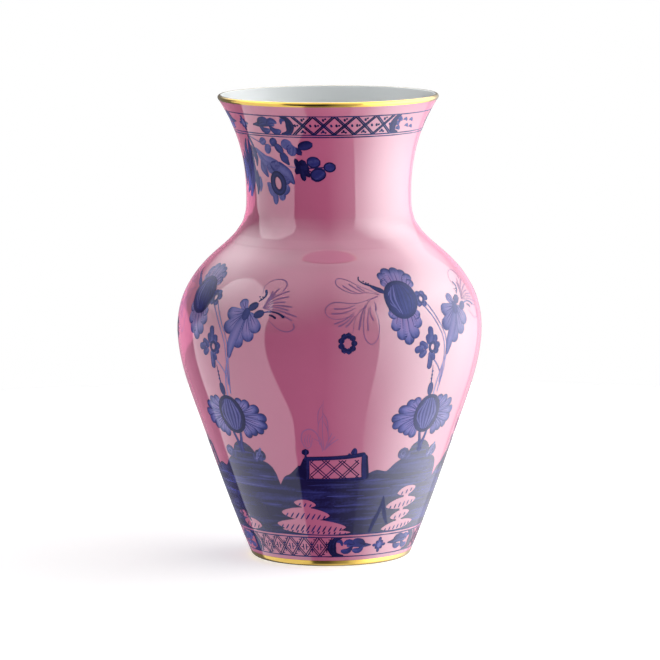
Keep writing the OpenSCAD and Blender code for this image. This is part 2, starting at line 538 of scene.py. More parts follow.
# A material with a principled shader, whose constant values are set on its own sockets
def newMaterial(name, constants):
    material = bpy.data.materials.new(name)
    material.use_nodes = True
    material.node_tree.nodes.clear()
    tree = Tree(material.node_tree)
    shader = material.node_tree.nodes.new("ShaderNodeBsdfPrincipled")
    for socket, value in constants.items():
        shader.inputs[socket].default_value = value
    output = material.node_tree.nodes.new("ShaderNodeOutputMaterial")
    material.node_tree.links.new(shader.outputs[0], output.inputs[0])
    return material, tree, shader


def feed(tree, shader, wires):
    for socket, wire in wires.items():
        tree.tree.links.new(wire.socket, shader.inputs[socket])


def noiseAt(tree, scale, detail=2.0, stretch=None):
    place = tree.add("ShaderNodeTexCoord", None, None, "Object")
    if stretch:
        place = tree.add("ShaderNodeMapping", None, {"Vector": place, "Scale": stretch})
    return tree.add("ShaderNodeTexNoise", {"noise_dimensions": "3D"},
                    {"Vector": place, "Scale": scale, "Detail": detail}, "Fac")


glazeFacts = {
    "pink": (0.45, 0.108, 0.212), "pinkDark": (0.41, 0.092, 0.188),
    "pinkSurface": {"IOR": 1.6, "Roughness": 0.035},
    "paintedShade": (0.8, 0.84, 0.84),           # painted shade: the pink is darkened on the lower half, below the belly, which faces down away from the light
    "shadeBelow": 0.15, "shadeFade": 0.05,      # metres
    "white": (0.74, 0.78, 0.79), "whiteLight": (0.78, 0.81, 0.81),
    "whiteSurface": {"IOR": 1.45, "Roughness": 0.32},
    "gold": (0.42, 0.285, 0.07), "goldDark": (0.35, 0.23, 0.052),
    "goldPolish": 0.08, "goldStreaks": 0.12,  # least roughness, and how much the brush adds
}


def bumpFrom(tree, height, strength, distance):
    return tree.add("ShaderNodeBump", None,
                    {"Strength": strength, "Distance": distance, "Height": height})


def pinkGround(facts):
    material, tree, shader = newMaterial("pinkGround", facts["pinkSurface"])
    cloud = noiseAt(tree, 14, 3)
    grain = noiseAt(tree, 900, 2)
    share = (cloud - 0.5) * 1.4 + (grain - 0.5) * 0.35 + 0.5
    mottledPink = tree.mixColour(share.clamped(), facts["pinkDark"], facts["pink"])
    # Painted shade: below the belly the mottled pink is multiplied darker, fading in over a few
    # centimetres. Here thin is 1 above that height and 0 below it.
    shadedPink = tree.mixColour(1.0, mottledPink, facts["paintedShade"], "MULTIPLY")
    place = tree.add("ShaderNodeTexCoord", None, None, "Object")
    thin = ((tree.axis(place, "Z") - facts["shadeBelow"]) / facts["shadeFade"]).clamped()
    colour = tree.mixColour(thin, shadedPink, mottledPink)
    bump = bumpFrom(tree, noiseAt(tree, 55, 1), 0.02, 0.0006)
    feed(tree, shader, {"Base Color": colour, "Normal": bump})
    return material


def whiteGlaze(facts):
    material, tree, shader = newMaterial("whiteGlaze", facts["whiteSurface"])
    cloud = noiseAt(tree, 20, 2)
    colour = tree.mixColour(cloud, facts["white"], facts["whiteLight"])
    feed(tree, shader, {"Base Color": colour})
    return material


def burnishedGold(facts):
    material, tree, shader = newMaterial("burnishedGold", {"Metallic": 1.0})
    stroke = noiseAt(tree, 260, 3, (1, 1, 5))
    colour = tree.mixColour(stroke, facts["gold"], facts["goldDark"])
    rough = stroke * facts["goldStreaks"] + facts["goldPolish"]
    feed(tree, shader, {"Base Color": colour, "Roughness": rough})
    return material


ground, lining, gold = pinkGround(glazeFacts), whiteGlaze(glazeFacts), burnishedGold(glazeFacts)
turnSection("pinkGroundSkin", groundSection(), ground, "ground_glaze")
turnSection("innerGlaze", liningSection(), lining, "lining_glaze", 240)
turnSection("lipGold", lipGoldSection(), gold, "lip_gilding", 360)
turnSection("footGold", footGoldSection(), gold, "foot_gilding", 360)
print("skins turned")

footFacts = {
    "clay": (0.62, 0.58, 0.53), "clayLight": (0.7, 0.67, 0.62),
    "clayRoughness": 0.62, "clayGrain": 0.2,
    "glaze": (0.74, 0.76, 0.76), "glazeLight": (0.79, 0.8, 0.79),
    "glazeRoughness": 0.06, "glazeClouds": 0.06,
    "surface": {"IOR": 1.5},
}


# The unglazed clay of the ring that the vase stands on
def bareClay(facts):
    material, tree, shader = newMaterial("bareClay", facts["surface"])
    cloud = noiseAt(tree, 45, 3)
    grain = noiseAt(tree, 1400, 4)
    colour = tree.mixColour(cloud, facts["clay"], facts["clayLight"])
    rough = grain * facts["clayGrain"] + facts["clayRoughness"]
    bump = bumpFrom(tree, grain, 0.35, 0.0002)
    feed(tree, shader, {"Base Color": colour, "Roughness": rough, "Normal": bump})
    return material


# The glaze of the recess inside that ring
def clearGlaze(facts):
    material, tree, shader = newMaterial("clearGlaze", facts["surface"])
    cloud = noiseAt(tree, 30, 3)
    colour = tree.mixColour(cloud, facts["glaze"], facts["glazeLight"])
    rough = cloud * facts["glazeClouds"] + facts["glazeRoughness"]
    bump = bumpFrom(tree, noiseAt(tree, 120, 2), 0.05, 0.0004)
    feed(tree, shader, {"Base Color": colour, "Roughness": rough, "Normal": bump})
    return material


bpy.data.objects["porcelain_body"].material_slots[0].material = bareClay(footFacts)
bpy.data.objects["base_glaze"].material_slots[0].material = clearGlaze(footFacts)
print("foot finished")

# The painting is drawn flat in millimetres and then wrapped onto the outside of the vase.
# Lengths along the outside stand beside the heights, in half millimetre steps.
outlineStep = 0.5
outlineHeights = [knots[0][0] + outlineStep * i for i in range(590)]
outlineRadii = [outsideAt(z)[0] for z in outlineHeights]
outlineArcs = [0.0]
for low, high in zip(outlineRadii, outlineRadii[1:]):
    outlineArcs.append(outlineArcs[-1] + math.hypot(high - low, outlineStep))


def between(value, known, wanted):
    i = min(max(bisect.bisect_right(known, value) - 1, 0), len(known) - 2)
    share = (value - known[i]) / (known[i + 1] - known[i])
    return wanted[i] + share * (wanted[i + 1] - wanted[i])


def arcAt(z):
    return between(z, outlineHeights, outlineArcs)


# Value of a profile, given as a number, a list of evenly spread values or a function
def profile(values, t):
    if callable(values):
        return values(t)
    if isinstance(values, (int, float)):
        return values
    place = t * (len(values) - 1)
    i = min(int(place), len(values) - 2)
    return values[i] + (place - i) * (values[i + 1] - values[i])


def curveBetween(p, q, r, s, t):
    return 0.5 * (2 * q + (r - p) * t + (2 * p - 5 * q + 4 * r - s) * t * t
                  + (3 * q - p - 3 * r + s) * t**3)


# Smooth line through the points, with its own points closely spaced
def smoothLine(points, spacing, closed=False):
    before, after = (points[-1:], points[:2]) if closed else (points[:1], points[-1:])
    ends = [*before, *points, *after]
    line = []
    for a, b, c, d in zip(ends, ends[1:], ends[2:], ends[3:]):
        count = max(1, math.ceil(math.dist(b, c) / spacing))
        for i in range(count):
            line.append(tuple(curveBetween(*four, i / count) for four in zip(a, b, c, d)))
    line.append(points[0] if closed else points[-1])
    return line


def turnParts(degrees):
    return math.cos(math.radians(degrees)), math.sin(math.radians(degrees))


# The paint, in millimetres
brushFacts = {
    "root": 0.025,              # how far it reaches into the ground
    "layer": 0.0125,            # how much higher each layer lies than the one below
    "film": 0.001, "films": 9,  # strokes of one layer lie at slightly different heights
    "spacing": 1.5,             # between a stroke's points
    "blunt": (0.03, 0.14, 0.35, 0.65),   # where a round end has points of its own
    "thinnest": 0.03,
    "streak": 0.07,             # how much the wash changes across a stroke
    "moundRows": 46, "moundPitch": 0.75, "moundMottle": 0.03,
}


# Gathers strokes of paint: flat points, faces, and the strength of the wash at every point.
class Brush:
    def __init__(self, seed):
        self.points, self.faces, self.wash = [], [], []
        self.random = random.Random(seed)
        self.count = 0
        self.spot(0, 100)

    # Sets the place that the next strokes are drawn about, and how they are turned there.
    def spot(self, angle, z, turn=0, size=1):
        self.angle, self.arc = math.radians(angle), arcAt(z)
        self.turn = tuple(part * size for part in turnParts(turn))
        self.size = size

    # Place on the vase, in degrees and height, as millimetres about the spot
    def on(self, angle, z):
        x = (math.radians(angle) - self.angle) * outsideAt(z)[0]
        y = arcAt(z) - self.arc
        c, s = self.turn
        return (x * c + y * s) / self.size**2, (y * c - x * s) / self.size**2

    def along(self, *places):
        return [self.on(*place) for place in places]

    def put(self, x, y, lift, wash):
        c, s = self.turn
        height = self.arc + x * s + y * c
        radius = between(height, outlineArcs, outlineRadii)
        self.points.append((self.angle + (x * c - y * s) / radius, height * mm, lift * mm))
        self.wash.append(min(max(wash, 0), 1))

    def lift(self, layer):
        self.count += 1
        return (brushFacts["layer"] * (layer + 1) - vaseShape["relief"]
                + brushFacts["film"] * (self.count % brushFacts["films"]))

    # Faces over the rows of points that start at the given one
    def weave(self, first, rows, columns):
        for i in range(rows - 1):
            for j in range(columns - 1):
                corner = first + i * columns + j
                self.faces.append((corner, corner + columns, corner + columns + 1, corner + 1))

    # Points of a stroke and the lengths along it, closer together at its round ends
    def strokeLine(self, points, broad, blunt, closed):
        line = smoothLine(points, brushFacts["spacing"], closed)
        if not closed and len(line) < 5:
            line = smoothLine(points, math.dist(points[0], points[-1]) / 5)
        lengths = [0.0]
        for a, b in zip(line, line[1:]):
            lengths.append(lengths[-1] + math.dist(a, b))
        if not blunt or closed:
            return line, lengths
        whole = lengths[-1]
        near = [broad * share / 2 for share in brushFacts["blunt"] if broad * share / 2 < whole]
        marks = sorted({*lengths, *near, *(whole - length for length in near)})
        columns = [[point[axis] for point in line] for axis in (0, 1)]
        return [tuple(between(mark, lengths, column) for column in columns)
                for mark in marks], marks

    # Half the width near a round end
    def bluntHalf(self, half, toEnd):
        if toEnd < half:
            half *= max(math.sqrt(max(1 - (1 - toEnd / half)**2, 0)), 0.04)
        return half

    # One stroke: its width and wash run along it, its edges and its end may be darker.
    def stroke(self, points, width, wash=0.9, edge=0.0, tip=0.0, layer=3, blunt=True, closed=False):
        broad = max(profile(width, i / 8) for i in range(9))
        line, lengths = self.strokeLine(points, broad, blunt, closed)
        whole = lengths[-1]
        columns = 2 if broad < 0.9 else 3 if broad < 2 else 2 + math.ceil(broad / 1.6)
        streaks = [self.random.uniform(-brushFacts["streak"], brushFacts["streak"])
                   for _ in range(columns)]
        lift = self.lift(layer)
        first = len(self.points)
        for i, (x, y) in enumerate(line):
            if closed:
                before, after = line[i - 1 if i else -2], line[(i + 1) % (len(line) - 1)]
            else:
                before, after = line[max(i - 1, 0)], line[min(i + 1, len(line) - 1)]
            dx, dy = after[0] - before[0], after[1] - before[1]
            length = math.hypot(dx, dy) or 1
            t = lengths[i] / whole
            half = profile(width, t) / 2
            if blunt and not closed:
                half = self.bluntHalf(half, min(lengths[i], whole - lengths[i]))
            half = max(half, brushFacts["thinnest"])
            tone = profile(wash, t) + tip * max(0, t - 0.6) / 0.4
            for j in range(columns):
                u = 2 * j / (columns - 1) - 1
                dark = tone + edge * abs(u)**2.5 + (streaks[j] if columns > 2 else 0)
                self.put(x - dy / length * half * u, y + dx / length * half * u, lift, dark)
        self.weave(first, len(line), columns)

    def oval(self, x, y, wide, tall, turn=0, wash=0.8, edge=0.15, layer=3):
        c, s = turnParts(turn)
        ends = [(x - s * e * tall / 2, y + c * e * tall / 2) for e in (-1, -0.5, 0, 0.5, 1)]
        self.stroke(ends, lambda t: wide * math.sqrt(max(1 - (2 * t - 1)**2, 0)), wash, edge,
                    layer=layer, blunt=False)

    # A petal from its root to its tip, with a vein or two
    def petal(self, root, tip, width, wash=(0.15, 0.3, 0.55), edge=0.15, layer=2, veins=1,
              vein=0.75):
        bend = self.random.uniform(-0.06, 0.06)
        dx, dy = tip[0] - root[0], tip[1] - root[1]
        middle = (root[0] + dx * 0.5 - dy * bend, root[1] + dy * 0.5 + dx * bend)
        widths = [width * share for share in (0.45, 0.72, 1, 1.05)]
        self.stroke([root, middle, tip], widths, wash, edge, 0.1, layer)
        length = math.hypot(dx, dy)
        for v in range(veins):
            side = (v - (veins - 1) / 2) * width * 0.3
            end = self.random.uniform(0.62, 0.8)
            top = (root[0] + dx * end - dy / length * side, root[1] + dy * end + dx / length * side)
            self.stroke([root, top], (0.35, 0.55, 0.2), vein, layer=layer + 1)

    # A line closed to a loop
    def ring(self, x, y, wide, tall, width, wash=0.9, turn=0, layer=3, edge=0.0):
        c, s = turnParts(turn)
        count = max(8, round(math.pi * (wide + tall) / 2 / 1.4))
        spots = []
        for i in range(count):
            a = 2 * math.pi * i / count
            px, py = wide / 2 * math.cos(a), tall / 2 * math.sin(a)
            spots.append((x + px * c - py * s, y + px * s + py * c))
        self.stroke(spots, width, wash, edge, layer=layer, closed=True)

    # A ground of wash from a level foot up to a line of (degrees, height)
    def field(self, foot, crest, wash, layer=1):
        start, end = crest[0][0], crest[-1][0]
        columns = math.ceil((end - start) * brushFacts["moundPitch"]) + 1
        rows, mottle = brushFacts["moundRows"], brushFacts["moundMottle"]
        angles, heights = zip(*smoothLine(crest, 0.6))
        lift = self.lift(layer)
        first = len(self.points)
        low = arcAt(foot)
        for i in range(columns):
            angle = start + (end - start) * i / (columns - 1)
            rise = arcAt(between(angle, angles, heights)) - low
            for j in range(rows):
                height = low + rise * j / (rows - 1)
                self.points.append((math.radians(angle), height * mm, lift * mm))
                self.wash.append(wash + self.random.uniform(-mottle, mottle))
        self.weave(first, columns, rows)


# Wraps a flat drawing onto the outside: row copies, thickness, the bend, then copies round Z.
# A drawing's X is its angle, its Y the length along the outside and its Z the height above it.
def makeWrapTree():
    group, tree, given = newTree("wrappedPaint", {
        "Outline": ("Object", None), "Cells": ("Int", 1), "Cell Pitch": ("Float", 0.1),
        "Sectors": ("Int", 1), "Root": ("Float", 0.0), "Material": ("Material", None)})
    step = tree.add("ShaderNodeCombineXYZ", None, {"X": given["Cell Pitch"]})
    row = tree.add("GeometryNodeMeshLine", None, {"Count": given["Cells"], "Offset": step})
    cells = tree.add("GeometryNodeInstanceOnPoints", None,
                     {"Points": row, "Instance": given["Geometry"]})
    flat = tree.add("GeometryNodeRealizeInstances", None, {"Geometry": cells})
    place = tree.add("GeometryNodeInputPosition")
    angle, along, lift = (tree.axis(place, name) for name in "XYZ")
    down = tree.add("ShaderNodeCombineXYZ", None, {"Z": given["Root"] - lift})
    under = tree.add("GeometryNodeExtrudeMesh", None, {
        "Mesh": flat, "Offset": down, "Offset Scale": 1.0, "Individual": False})
    turned = tree.add("GeometryNodeFlipFaces", None, {"Mesh": under})
    both = tree.add("GeometryNodeJoinGeometry", None, {"Geometry": flat})
    tree.tree.links.new(turned.socket, both.socket.node.inputs["Geometry"])
    closed = tree.add("GeometryNodeMergeByDistance", None, {"Geometry": both, "Distance": 1e-7})
    outline = tree.add("GeometryNodeObjectInfo", None, {"Object": given["Outline"]}, "Geometry")
    sample = tree.add("GeometryNodeSampleCurve", {"mode": "LENGTH"},
                      {"Curves": outline, "Length": along}, "Position")
    leanX, leanZ = (tree.axis(sample.output("Tangent"), name) for name in "XZ")
    outward = tree.add("ShaderNodeCombineXYZ", None, {"X": leanZ * lift, "Z": leanX * lift * -1})
    raised = tree.add("ShaderNodeVectorMath", {"operation": "ADD"}, (sample, outward))
    bent = tree.add("ShaderNodeVectorRotate", {"rotation_type": "Z_AXIS"},
                    {"Vector": raised, "Angle": angle - math.pi / 2})
    wrapped = tree.add("GeometryNodeSetPosition", None, {"Geometry": closed, "Position": bent})
    axis = tree.add("GeometryNodeMeshLine", None, {"Count": given["Sectors"], "Offset": (0, 0, 0)})
    index = tree.add("GeometryNodeInputIndex")
    around = tree.add("ShaderNodeCombineXYZ", None, {"Z": index * (2 * math.pi) / given["Sectors"]})
    sectors = tree.add("GeometryNodeInstanceOnPoints", None,
                       {"Points": axis, "Instance": wrapped, "Rotation": around})
    endTree(tree, sectors, given["Material"])
    return group


# The outside as a curve, from which the wrapping tree reads places and directions.
def makeOutlineCurve():
    curve = bpy.data.curves.new("outlineGuide", "CURVE")
    curve.dimensions = "3D"
    spline = curve.splines.new("POLY")
    spline.points.add(len(outlineHeights) - 1)
    for point, radius, z in zip(spline.points, outlineRadii, outlineHeights):
        point.co = (radius * mm, 0, z * mm, 1)
    guide = bpy.data.objects.new("outlineGuide", curve)
    bpy.context.scene.collection.objects.link(guide)
    return guide


# Makes a brush's drawing a piece: its copies in a row, then its copies round the vase.
def layPaint(name, brush, material, slotName, sectors=1, cells=1, pitch=0.0, replaced=None):
    mesh = bpy.data.meshes.new(name + "Flat")
    mesh.from_pydata(brush.points, [], brush.faces)
    wash = mesh.attributes.new("wash", "FLOAT", "POINT")
    wash.data.foreach_set("value", brush.wash)
    root = -(vaseShape["relief"] + brushFacts["root"]) * mm
    piece = runTree(name, mesh, wrapTree, {
        "Outline": outlineGuide, "Cells": cells, "Cell Pitch": math.radians(pitch),
        "Sectors": sectors, "Root": root, "Material": material})
    handOver(piece, replaced)


wrapTree = makeWrapTree()
outlineGuide = makeOutlineCurve()

paintFacts = {
    # from the thinnest wash to the strongest
    "tones": ((0, (0.36, 0.21, 0.43)), (0.25, (0.24, 0.18, 0.42)), (0.5, (0.12, 0.11, 0.31)),
              (0.75, (0.026, 0.026, 0.145)), (1, (0.005, 0.003, 0.026))),
    "mottle": 0.12,
    "line": (0.26, 0.09, 0.2), "lineDark": (0.19, 0.075, 0.2),
    "thin": {"IOR": 1.3, "Roughness": 0.06, "Specular Tint": (0.4, 0.5, 1, 1)},
    "thick": {"IOR": 1.36, "Roughness": 0.05, "Specular Tint": (0.8, 0.85, 1, 1)},
}


# Blue paint whose strength follows the wash; the streaks run along the given stretch.
def bluePaint(name, coat, stretch, streak):
    material, tree, shader = newMaterial(name, paintFacts[coat])
    wash = tree.add("ShaderNodeAttribute", {"attribute_name": "wash"}, None, "Fac")
    streaks = noiseAt(tree, 60, 3, stretch)
    mottle = noiseAt(tree, 700, 2)
    tone = wash + (streaks - 0.5) * streak + (mottle - 0.5) * paintFacts["mottle"]
    colour = tree.add("ShaderNodeValToRGB", {"stops": paintFacts["tones"]}, {"Fac": tone})
    feed(tree, shader, {"Base Color": colour})
    return material


def linePaint():
    material, tree, shader = newMaterial("thinLine", paintFacts["thin"])
    colour = tree.mixColour(noiseAt(tree, 400, 2), paintFacts["line"], paintFacts["lineDark"])
    feed(tree, shader, {"Base Color": colour})
    return material


fineBlue = bluePaint("fineBlue", "thin", None, 0.25)
broadBlue = bluePaint("broadBlue", "thick", (0.5, 0.5, 4.5), 0.7)
violetLine = linePaint()


# The belly's painting is one quarter, drawn once and laid four times. Each motif has its spot,
# in degrees and height, and its strokes are in millimetres about it: points, widths and wash.
bellyFacts = {
    "quarters": 4, "rockHalves": 2,
    "bigCarnation": (29.6, 176.5), "trumpet": (57, 168.5), "lowCarnation": (44.6, 101),
    "sprig": (40.4, 144.6), "sprigSize": 1.1,
    "ringFlower": (6.6, 150.6), "petalLines": (20.6, 179.6), "feather": (-3, 84),
    "stems": (45, 140), "moundFoot": 22.4,
}


def paintBigCarnation(brush):
    brush.spot(*bellyFacts["bigCarnation"])
    for tip in ((-10, 14.5), (-9.4, 20), (-4.6, 23.4), (1.6, 23.6), (6.8, 21.4), (10.8, 17.6),
                (11.8, 12.5)):
        brush.petal((tip[0] * 0.5, 7), tip, 6.8, (0.4, 0.12, 0.2, 0.8), edge=0.3, layer=1)
    for tip in ((-10.5, -6), (-10.2, -12), (-8, -20.5), (10.4, -13.5), (10, -19.5), (7.4, -26)):
        brush.petal((tip[0] * 0.5, -7), tip, 7, (0.4, 0.1, 0.2, 0.72), edge=0.3, layer=1)
    for tip in ((-3, -26.5), (2.6, -29.8)):
        brush.petal((tip[0] * 0.5, -7), tip, 7.4, (0.4, 0.1, 0.2, 0.72), edge=0.3, layer=1)
    brush.oval(0, 0, 23.5, 26.6, turn=8, wash=0.76, edge=0.35)
    for side in (-9.5, -6.6, -3.8, -1.2, 1.6, 4.4, 7.2, 9.6):
        reach = 11 * math.sqrt(1 - (side / 11.6)**2)
        wash = 0.93 if side > -2 else 0.5       # the ribs are darker on the right
        brush.stroke([(side * 0.55 - 1, reach), (side - 0.6, 0), (side * 0.6 + 1.2, -reach)],
                     (0.4, 1.3, 0.9, 0.4), wash, layer=4)
    brush.ring(0, 0, 20.5, 23.6, 2.8, wash=0.97, turn=8, layer=5)
    brush.stroke([(-10, 5), (-14.5, 7.6), (-18.5, 10.4)], (2, 3.8, 3, 1.8), 0.85, edge=0.2)
    brush.stroke([(-17.5, 10.2), (-22, 12), (-24.6, 15), (-23.6, 17.6)], (1.6, 1.2, 1, 0.7), 0.95,
                 layer=5)
    for spot in ((-20.5, 12.6), (-21.8, 13.8), (-19.2, 12)):
        brush.oval(*spot, 1.1, 1.1, wash=0.95, edge=0, layer=5)
    paintFloret(brush, 14.8, -1)


def paintFloret(brush, x, y):
    for turn in (10, 62, 118, 175, 232, 300):
        c, s = turnParts(turn)
        brush.stroke([(x + c * 1.4, y + s * 1.4), (x + c * 5.6, y + s * 6)], (2.8, 4.4, 5),
                     (0.6, 0.75), edge=0.2)
    brush.ring(x, y, 4.2, 5.4, 1.7, wash=0.88, layer=5)


def paintSprig(brush):
    brush.spot(*bellyFacts["sprig"], size=bellyFacts["sprigSize"])
    lobes = ((0, 3, 0, 12.5, 3.4), (-1, 2, -2.4, 8, 3.4), (2.5, 2, 3.6, 7.6, 3.4),
             (3, 0, 7, 2.6, 3.8), (-2, 0, -8, 3.6, 3.4), (-5, 1, -11.5, -1, 3.6),
             (-3, -1, -8, -4.6, 3.4), (0, -2, 0, -12.6, 3.2), (1, -3, 2.6, -7.6, 3.2),
             (3, -1, 5.6, -3.4, 3.6))
    for x0, y0, x1, y1, width in lobes:
        brush.stroke([(x0, y0), ((x0 + x1) / 2 + 0.4, (y0 + y1) / 2), (x1, y1)],
                     (width * 0.9, width * 1.2, width * 1.15), (0.6, 0.7, 0.8), edge=0.12)
    brush.ring(1.6, 0.4, 4.4, 5.4, 1.8, wash=0.88, layer=5)


def paintTrumpet(brush):
    brush.spot(*bellyFacts["trumpet"])
    lobes = ((-1, 1, -5, 8.6, 6.6), (-1, 0, -15.6, -2, 8), (-2, -1, -16.8, -12.4, 8),
             (0, -2, -6.4, -23, 8), (1, -2, 3, -18.6, 8), (2, 0, 8.8, -12.6, 8))
    for x0, y0, x1, y1, width in lobes:
        brush.petal((x0, y0), (x1, y1), width * 1.08, (0.5, 0.2, 0.28, 0.62), edge=0.3, layer=1,
                    veins=2, vein=0.68)
    brush.stroke([(-1, -2), (-7, -13), (-11, -21), (-13.4, -30)], (3.4, 6.6, 7, 6, 2.4),
                 (0.5, 0.3, 0.35, 0.6), edge=0.3, layer=2)
    brush.oval(-0.6, -1, 5.4, 9, turn=-20, wash=0.72, edge=0.1)
    brush.oval(3.8, 4.2, 5.2, 8, turn=-58, wash=0.9, edge=0.1, layer=4)
    brush.oval(8.8, -0.6, 5.2, 8, turn=-66, wash=0.88, edge=0.1, layer=4)
    brush.stroke([(6.8, 7.6), (9.6, 10), (10.8, 13), (9.2, 16)], (0.8, 1, 1.5, 1.9), 0.95, layer=5)
    for spot in ((6.8, 10.8), (7.8, 9.4), (8.8, 10.8)):
        brush.oval(*spot, 1.1, 1.1, wash=0.93, edge=0, layer=5)
    brush.stroke([(12, 0.6), (14.6, 1.2), (17.2, 1.2)], (0.9, 0.9), 0.7, layer=4)
    brush.stroke([(15.8, -0.8), (18.4, -1.4), (21, -3)], (1.2, 1.4), 1, layer=5)
    brush.stroke([(17, 1.4), (22, 0.4), (26.4, -2.2)], (0.8, 1.1, 1.7), 1, layer=5)


def paintLowCarnation(brush):
    brush.spot(*bellyFacts["lowCarnation"])
    for tip in ((9.5, 12.5), (17, 10.5), (24, 6.5), (28, 0), (27, -6.5), (23, -11), (17, -13.5),
                (11, -16)):
        brush.petal((7, tip[1] * 0.2), tip, 6.4, (0.6, 0.35, 0.4, 0.8), edge=0.3, layer=1, veins=2,
                    vein=0.8)
    for tip in ((-13, 12), (-19, 9.6), (-24.5, 5), (-28, -1), (-26, -7), (-20.5, -11), (-15, -14),
                (-9, -16.5)):
        brush.petal((-7, tip[1] * 0.2), tip, 6.4, (0.5, 0.25, 0.4, 0.75), edge=0.3, layer=1,
                    veins=2)
    brush.oval(0, 0, 22.5, 27, turn=4, edge=0.2)
    for side in (-8.6, -5.6, -2.6, 0.8, 4, 7.2):
        reach = 11.4 * math.sqrt(1 - (side / 11.6)**2)
        brush.stroke([(side * 0.5, reach), (side, 0), (side * 0.5, -reach)], (0.4, 1.5, 1.5, 0.4),
                     0.58, layer=4)
    brush.ring(0, 0, 20, 24.4, 2.4, wash=0.97, turn=4, layer=5)
    brush.oval(-2.6, 17.5, 4.8, 9.6, turn=4, wash=0.85)
    brush.stroke([(-3, 22), (-3.4, 28), (-3.8, 33.6)], (1.1, 0.8, 0.4), 0.85)
    for y in (24.4, 26.8, 29.4):
        brush.oval(-3.3, y, 1.7, 1.5, wash=0.88, edge=0, layer=4)
    brush.stroke([(-3, -12), (-1.4, -17), (0, -22), (1, -27)], (2, 2.2, 3, 4.6), 0.8, edge=0.1,
                 layer=2)
    brush.stroke([(3.6, -12), (2.8, -17), (1.2, -22), (1, -27)], (2, 2.2, 3, 4.6), 0.8, edge=0.1,
                 layer=2)


def paintStems(brush):
    brush.spot(*bellyFacts["stems"])
    brush.stroke(brush.along((39.4, 171), (43.4, 162), (47.4, 148), (47.8, 130), (47.2, 115)),
                 (0.9, 0.7, 0.7, 0.8), 0.45, layer=1)
    brush.stroke(brush.along((40.6, 173.5), (44.6, 163), (48.6, 149), (48.6, 132), (47.4, 118)),
                 (0.9, 0.7, 0.7, 0.8), 0.45, layer=1)
    brush.stroke(brush.along((41.6, 138), (44.6, 133), (46.8, 127), (47.4, 121)), (0.9, 0.7, 0.8),
                 0.5, layer=1)
    brush.stroke(brush.along((49.4, 141), (46.9, 130), (45.6, 120), (45.4, 113)), (1.4, 0.9, 0.9),
                 0.4, layer=1)
    brush.stroke(brush.along((48.6, 139), (47.4, 130), (46.9, 121)), (0.6, 0.5), 0.3, layer=1)


def paintPetalLines(brush):
    brush.spot(*bellyFacts["petalLines"])
    loops = (((0, 0), (-8, 2), (-16, 1.6), (-23, 4.4), (-26.4, 8.6), (-25, 12.4), (-20, 12.2),
              (-12, 7), (0, 0.4)),
             ((-1, -0.4), (-16, -5), (-30, -4.2), (-36.4, -8.6), (-35, -13.6), (-28.6, -15.2),
              (-20, -13)),
             ((-1.4, -1), (-8, -4), (-12.2, -12), (-13.6, -24), (-11, -30.4), (-7, -31),
              (-3.8, -26), (-3.2, -18), (-4.8, -9)))
    hairs = (((-18.4, 8.6), (-14.6, 5), (-10.6, 2.2)), ((-22.6, 7.6), (-18.4, 4), (-14, 2)),
             ((-13.6, 6.8), (-11.4, 4.6), (-9, 2.6)), ((-31, -8.4), (-24, -8.4), (-17, -6.2)),
             ((-33, -11.6), (-25, -11.2), (-17, -8)), ((-32, -18.2), (-25, -15.6), (-18.6, -11)),
             ((-29.6, -20), (-24, -17), (-18.4, -12)), ((-25, -20.4), (-21.6, -17.4), (-18, -13)),
             ((-16.6, -22.4), (-14.6, -14), (-10.6, -6)),
             ((-15.8, -20.4), (-14, -13), (-10.4, -6.4)), ((-10.6, -23), (-10.4, -16), (-8.4, -8)),
             ((-6.6, -16.6), (-8.2, -12), (-7.4, -7)), ((-4.2, -10.4), (-4, -7), (-4.4, -4)))
    for loop in loops:
        brush.stroke(loop, (0.3, 0.5, 0.75, 0.5, 0.35), layer=2)
    for hair in hairs:
        brush.stroke(hair, (1.1, 0.8, 0.3))
    brush.stroke([(-12, -8), (-18, -14.4), (-20.6, -24)], (0.5, 0.35, 0.35), layer=2)
    brush.spot(*bellyFacts["trumpet"])
    brush.stroke([(8, 13), (7.8, 18.6), (11.6, 23), (18, 24), (22.4, 20.4), (21, 14.8)],
                 (0.3, 0.45, 0.9, 0.8), layer=2)
    brush.stroke([(16.4, -4.4), (23, -9.4), (29.6, -11), (33.6, -8.8), (32.8, -5.6)],
                 (0.3, 0.5, 0.9, 1), layer=2)
    for x, y in ((14.6, 15.4), (18.4, 17.4), (17, 13.4), (25.6, 15.8), (26.6, 11.8), (25.2, 8),
                 (22, 10.6), (30.4, 4.8), (34.6, -1.4), (32, -4), (28.4, 2.6)):
        brush.stroke([(10.6, 3.4), (10 + x * 0.32 - y * 0.08, y * 0.52 + 2.2 + x * 0.03), (x, y)],
                     (0.25, 0.5, 1.1, 0.9))


def paintFeather(brush):
    brush.spot(*bellyFacts["feather"])
    brush.stroke([(0, -4), (-0.4, 10), (0, 22), (0.6, 32)], (0.5, 0.5, 0.5, 0.25), layer=2)
    for lift, side in ((8, 1), (14, 1), (12, -1), (20, -1)):
        brush.stroke([(0, lift + 9), (side * 2.8, lift + 3), (side * 3.2, lift - 5)],
                     (0.3, 0.7, 0.3))
    for x, y in ((7.6, 6), (9.6, 4), (6, 1.4), (5.6, 8.4)):
        brush.stroke([(0.6, -4), (x * 0.5, y * 0.4 - 1), (x, y)], (0.3, 0.7, 0.5))
    for x, y in ((-6, 4), (-4, 7)):
        brush.stroke([(-0.6, -5), (x * 0.4, y * 0.5), (x, y)], (0.3, 0.6, 0.4))
    brush.stroke([(-2.4, 0), (-3.6, 7), (-8, 11), (-13, 9), (-14, 2.6), (-11, -2.4), (-8, -1),
                  (-7, 5)], (0.5, 0.9, 0.7, 0.5), layer=2)
    for x in (-12, -10.4, -8.8):
        brush.stroke([(x + 1, 7.4), (x, 3), (x + 0.8, -0.8)], (0.3, 0.6, 0.3))


